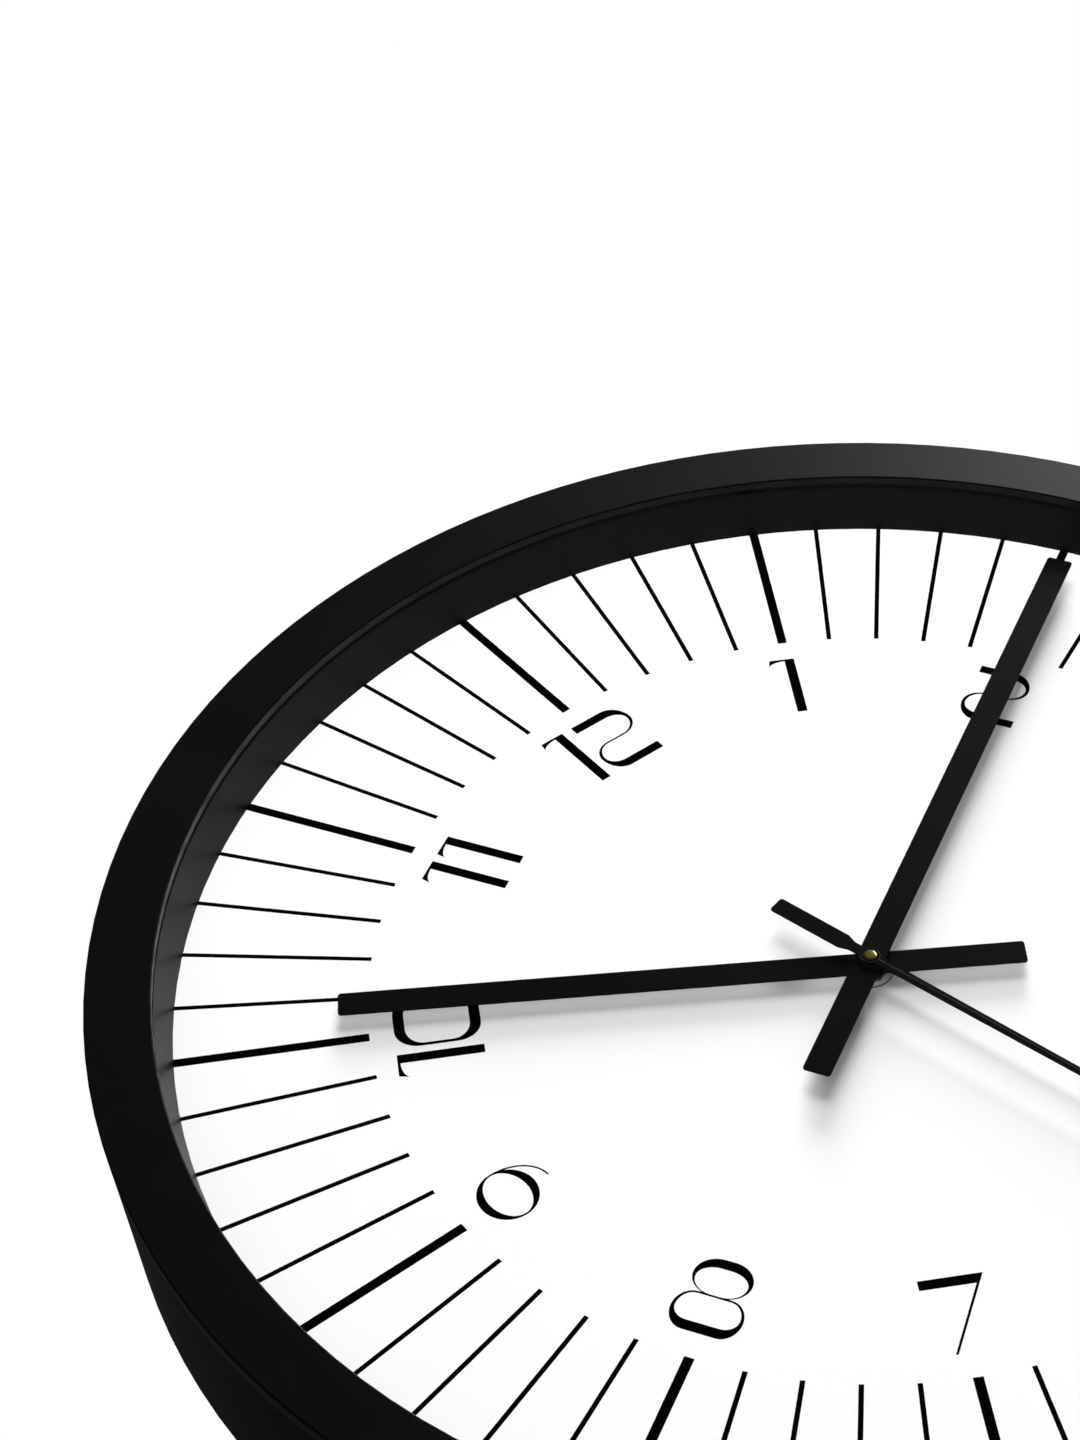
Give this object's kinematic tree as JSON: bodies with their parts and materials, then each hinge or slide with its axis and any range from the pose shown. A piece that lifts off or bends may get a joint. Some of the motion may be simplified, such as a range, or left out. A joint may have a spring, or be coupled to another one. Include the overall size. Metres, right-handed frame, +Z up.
{
  "type": "wall clock",
  "caption": "Round black wall clock: moulded case, flat clear lens, white dial and bar hands, with the quartz movement's meshing gear train, battery bay and keyhole hanger.",
  "frame": {"origin": "centre of the dial, on the hands' axis, in the plane of the wall that the clock hangs on", "axes": "+Z up to 12 o'clock, -Y out of the dial to the viewer, +X to 3 o'clock; +Y points into the wall"},
  "size_m": [0.307, 0.0384, 0.307],
  "materials": {
    "case_black": "satin",
    "lens_clear": "clear polished",
    "ring_black": "satin",
    "dial_white": "matte",
    "cover_black": "matte",
    "screw_steel": "black zinc",
    "movement_black": "fine matte",
    "brass": "turned",
    "gasket_rubber": "matte",
    "washer_steel": "plain",
    "nut_steel": "dark plated",
    "hand_black": "satin",
    "gear_natural": "smooth",
    "arbor_steel": "ground",
    "magnet_dark": "sintered",
    "iron_sheet": "rolled",
    "bobbin_white": "smooth",
    "winding_copper": "enamelled",
    "board_tan": "smooth",
    "crystal_can": "plain",
    "chip_resin": "cast",
    "contact_nickel": "nickel plated",
    "battery_jacket": "satin"
  },
  "bodies": {
    "case": {"case_ring": "case_black", "clear_lens": "lens_clear", "inner_ring": "ring_black", "dial_plate": "dial_white", "rear_cover": "cover_black", "movement_well": "cover_black", "press_ring": "cover_black", "rear_cover_screws": "screw_steel", "movement_front_case": "movement_black", "movement_rear_case": "movement_black", "threaded_bushing": "brass", "dial_gasket": "gasket_rubber", "dial_washer": "washer_steel", "hex_nut": "nut_steel", "stator": "iron_sheet", "coil_core": "iron_sheet", "coil_bobbin": "bobbin_white", "coil_winding": "winding_copper", "circuit_board": "board_tan", "quartz_crystal": "crystal_can", "driver_chip": "chip_resin", "positive_contact": "contact_nickel", "negative_contact": "contact_nickel"},
    "second_train": {"second_wheel": "gear_natural", "second_arbor": "arbor_steel", "second_hand": "hand_black", "second_hand_hub": "brass"},
    "rotor": {"rotor_pinion": "gear_natural", "rotor_magnet": "magnet_dark"},
    "intermediate": {"intermediate_wheel": "gear_natural"},
    "third": {"third_wheel": "gear_natural"},
    "minute": {"minute_wheel": "gear_natural", "minute_hand": "hand_black"},
    "transfer": {"transfer_wheel": "gear_natural", "setting_knob": "gear_natural"},
    "hour": {"hour_wheel": "gear_natural", "hour_hand": "hand_black"},
    "battery": {"battery_cell": "battery_jacket"}
  },
  "joints": [
    {"name": "second_hand_spin", "type": "hinge", "parent": "case", "child": "second_train", "pos_m": [0, -0.0148, 0], "axis": [0, 1, 0], "continuous": true},
    {"name": "rotor_spin", "type": "hinge", "parent": "case", "child": "rotor", "pos_m": [0.00103, -0.0148, 0.01573], "axis": [0, 1, 0], "continuous": true},
    {"name": "intermediate_spin", "type": "hinge", "parent": "case", "child": "intermediate", "pos_m": [-0.00078, -0.0148, 0.00897], "axis": [0, 1, 0], "continuous": true},
    {"name": "third_spin", "type": "hinge", "parent": "case", "child": "third", "pos_m": [0.00779, -0.0148, 0.0045], "axis": [0, 1, 0], "continuous": true},
    {"name": "minute_hand_spin", "type": "hinge", "parent": "case", "child": "minute", "pos_m": [0, -0.0148, 0], "axis": [0, 1, 0], "continuous": true},
    {"name": "setting_knob_spin", "type": "hinge", "parent": "case", "child": "transfer", "pos_m": [-0.0087, -0.0148, 0.00406], "axis": [0, 1, 0], "continuous": true},
    {"name": "hour_hand_spin", "type": "hinge", "parent": "case", "child": "hour", "pos_m": [0, -0.0148, 0], "axis": [0, 1, 0], "continuous": true},
    {"name": "battery_slide", "type": "slide", "parent": "case", "child": "battery", "axis": [0, 1, 0], "range_m": [0, 0.03]}
  ],
  "couplings": [
    {"joint": "rotor_spin", "follows": "second_hand_spin", "ratio": 30},
    {"joint": "intermediate_spin", "follows": "second_hand_spin", "ratio": -5},
    {"joint": "third_spin", "follows": "second_hand_spin", "ratio": -0.125},
    {"joint": "minute_hand_spin", "follows": "second_hand_spin", "ratio": 0.016667},
    {"joint": "setting_knob_spin", "follows": "second_hand_spin", "ratio": -0.0055556},
    {"joint": "hour_hand_spin", "follows": "second_hand_spin", "ratio": 0.0013889}
  ]
}
